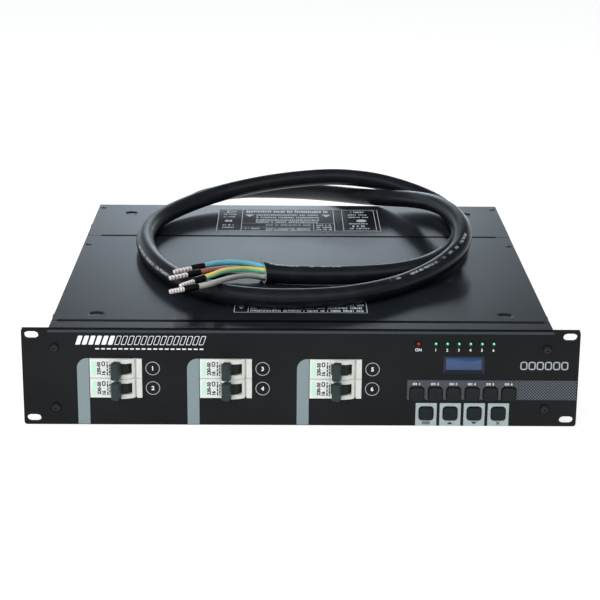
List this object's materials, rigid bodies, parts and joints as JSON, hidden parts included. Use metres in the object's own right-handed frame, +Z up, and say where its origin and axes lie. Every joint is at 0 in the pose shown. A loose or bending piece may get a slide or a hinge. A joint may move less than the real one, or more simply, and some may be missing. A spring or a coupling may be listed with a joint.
{
  "type": "dimmer pack",
  "caption": "Rack-mounted stage lighting dimmer pack with breakers, key panel, display, rear outlets and a mains lead.",
  "frame": {"origin": "centre of the footprint, without the mains lead and its gland, at the underside of the case", "axes": "+X along the front panel to the right of someone who faces it, +Y from the front panel to the rear outlets, +Z up"},
  "size_m": [0.4826, 0.5874, 0.1246],
  "materials": {
    "panel_paint": "satin black-grey powder coat with a fine grain",
    "case_paint": "satin black paint with a fine grain",
    "black_steel": "black oxide screw steel",
    "breaker_plastic": "off-white moulded plastic",
    "lever_plastic": "dark grey-green moulded plastic",
    "zinc_steel": "bright zinc-plated steel",
    "circuit_board": "green circuit board with its parts",
    "display_glass": "blue liquid crystal display behind clear glass",
    "red_lamp": "red tinted lamp lens",
    "green_lamp": "green tinted lamp lens",
    "key_rubber": "black soft-touch key cap",
    "outlet_plastic": "black moulded outlet",
    "connector_metal": "black coated die-cast connector",
    "gland_plastic": "black nylon gland",
    "fan_plastic": "black fan plastic",
    "aluminium": "bare extruded aluminium",
    "lead_rubber": "black rubber jacket with a dull sheen",
    "core_blue_pvc": "light blue core insulation",
    "core_green_yellow_pvc": "green core insulation with a yellow stripe",
    "core_grey_pvc": "grey core insulation",
    "core_black_pvc": "black core insulation",
    "core_brown_pvc": "brown core insulation"
  },
  "bodies": {
    "pack": {"front_panel": "panel_paint", "front_panel_screw_1": "black_steel", "front_panel_screw_2": "black_steel", "front_panel_screw_3": "black_steel", "front_panel_screw_4": "black_steel", "breaker_1": "breaker_plastic", "breaker_2": "breaker_plastic", "breaker_3": "breaker_plastic", "breaker_4": "breaker_plastic", "breaker_5": "breaker_plastic", "breaker_6": "breaker_plastic", "breaker_rail": "zinc_steel", "status_lamp": "red_lamp", "channel_lamp_1": "green_lamp", "channel_lamp_2": "green_lamp", "channel_lamp_3": "green_lamp", "channel_lamp_4": "green_lamp", "channel_lamp_5": "green_lamp", "channel_lamp_6": "green_lamp", "control_board": "circuit_board", "display_module": "display_glass", "chassis_base": "case_paint", "front_lid": "case_paint", "rear_lid": "case_paint", "rear_panel": "case_paint", "outlet_1": "outlet_plastic", "outlet_2": "outlet_plastic", "outlet_3": "outlet_plastic", "outlet_4": "outlet_plastic", "outlet_5": "outlet_plastic", "outlet_6": "outlet_plastic", "data_in": "connector_metal", "data_out": "connector_metal", "cable_gland": "gland_plastic", "fan_frame": "fan_plastic", "triac_heat_sink": "aluminium", "power_board": "circuit_board", "mains_lead": "lead_rubber", "core_blue": "core_blue_pvc", "core_green_yellow": "core_green_yellow_pvc", "core_grey": "core_grey_pvc", "core_black": "core_black_pvc", "core_brown": "core_brown_pvc"},
    "lever_1": {"breaker_lever_1": "lever_plastic"},
    "lever_2": {"breaker_lever_2": "lever_plastic"},
    "lever_3": {"breaker_lever_3": "lever_plastic"},
    "lever_4": {"breaker_lever_4": "lever_plastic"},
    "lever_5": {"breaker_lever_5": "lever_plastic"},
    "lever_6": {"breaker_lever_6": "lever_plastic"},
    "channel_button_1": {"channel_key_1": "key_rubber"},
    "channel_button_2": {"channel_key_2": "key_rubber"},
    "channel_button_3": {"channel_key_3": "key_rubber"},
    "channel_button_4": {"channel_key_4": "key_rubber"},
    "channel_button_5": {"channel_key_5": "key_rubber"},
    "channel_button_6": {"channel_key_6": "key_rubber"},
    "menu_button_1": {"menu_key_1": "key_rubber"},
    "menu_button_2": {"menu_key_2": "key_rubber"},
    "menu_button_3": {"menu_key_3": "key_rubber"},
    "menu_button_4": {"menu_key_4": "key_rubber"},
    "rotor": {"fan_rotor": "fan_plastic"}
  },
  "joints": [
    {"name": "lever_1_swing", "type": "hinge", "parent": "pack", "child": "lever_1", "pos_m": [-0.1554, -0.21138, 0.05205], "axis": [0, 0, 1], "range_deg": [0, 44]},
    {"name": "lever_2_swing", "type": "hinge", "parent": "pack", "child": "lever_2", "pos_m": [-0.1554, -0.21138, 0.03395], "axis": [0, 0, 1], "range_deg": [0, 44]},
    {"name": "lever_3_swing", "type": "hinge", "parent": "pack", "child": "lever_3", "pos_m": [-0.0601, -0.21138, 0.05205], "axis": [0, 0, 1], "range_deg": [0, 44]},
    {"name": "lever_4_swing", "type": "hinge", "parent": "pack", "child": "lever_4", "pos_m": [-0.0601, -0.21138, 0.03395], "axis": [0, 0, 1], "range_deg": [0, 44]},
    {"name": "lever_5_swing", "type": "hinge", "parent": "pack", "child": "lever_5", "pos_m": [0.0352, -0.21138, 0.05205], "axis": [0, 0, 1], "range_deg": [0, 44]},
    {"name": "lever_6_swing", "type": "hinge", "parent": "pack", "child": "lever_6", "pos_m": [0.0352, -0.21138, 0.03395], "axis": [0, 0, 1], "range_deg": [0, 44]},
    {"name": "channel_key_1_press", "type": "slide", "parent": "pack", "child": "channel_button_1", "axis": [0, 1, 0], "range_m": [0, 0.0008], "stiffness_N_per_m": 300},
    {"name": "channel_key_2_press", "type": "slide", "parent": "pack", "child": "channel_button_2", "axis": [0, 1, 0], "range_m": [0, 0.0008], "stiffness_N_per_m": 300},
    {"name": "channel_key_3_press", "type": "slide", "parent": "pack", "child": "channel_button_3", "axis": [0, 1, 0], "range_m": [0, 0.0008], "stiffness_N_per_m": 300},
    {"name": "channel_key_4_press", "type": "slide", "parent": "pack", "child": "channel_button_4", "axis": [0, 1, 0], "range_m": [0, 0.0008], "stiffness_N_per_m": 300},
    {"name": "channel_key_5_press", "type": "slide", "parent": "pack", "child": "channel_button_5", "axis": [0, 1, 0], "range_m": [0, 0.0008], "stiffness_N_per_m": 300},
    {"name": "channel_key_6_press", "type": "slide", "parent": "pack", "child": "channel_button_6", "axis": [0, 1, 0], "range_m": [0, 0.0008], "stiffness_N_per_m": 300},
    {"name": "menu_key_1_press", "type": "slide", "parent": "pack", "child": "menu_button_1", "axis": [0, 1, 0], "range_m": [0, 0.0008], "stiffness_N_per_m": 300},
    {"name": "menu_key_2_press", "type": "slide", "parent": "pack", "child": "menu_button_2", "axis": [0, 1, 0], "range_m": [0, 0.0008], "stiffness_N_per_m": 300},
    {"name": "menu_key_3_press", "type": "slide", "parent": "pack", "child": "menu_button_3", "axis": [0, 1, 0], "range_m": [0, 0.0008], "stiffness_N_per_m": 300},
    {"name": "menu_key_4_press", "type": "slide", "parent": "pack", "child": "menu_button_4", "axis": [0, 1, 0], "range_m": [0, 0.0008], "stiffness_N_per_m": 300},
    {"name": "fan_spin", "type": "hinge", "parent": "pack", "child": "rotor", "pos_m": [-0.104, 0.21262, 0.043], "axis": [0, 1, 0], "continuous": true}
  ]
}
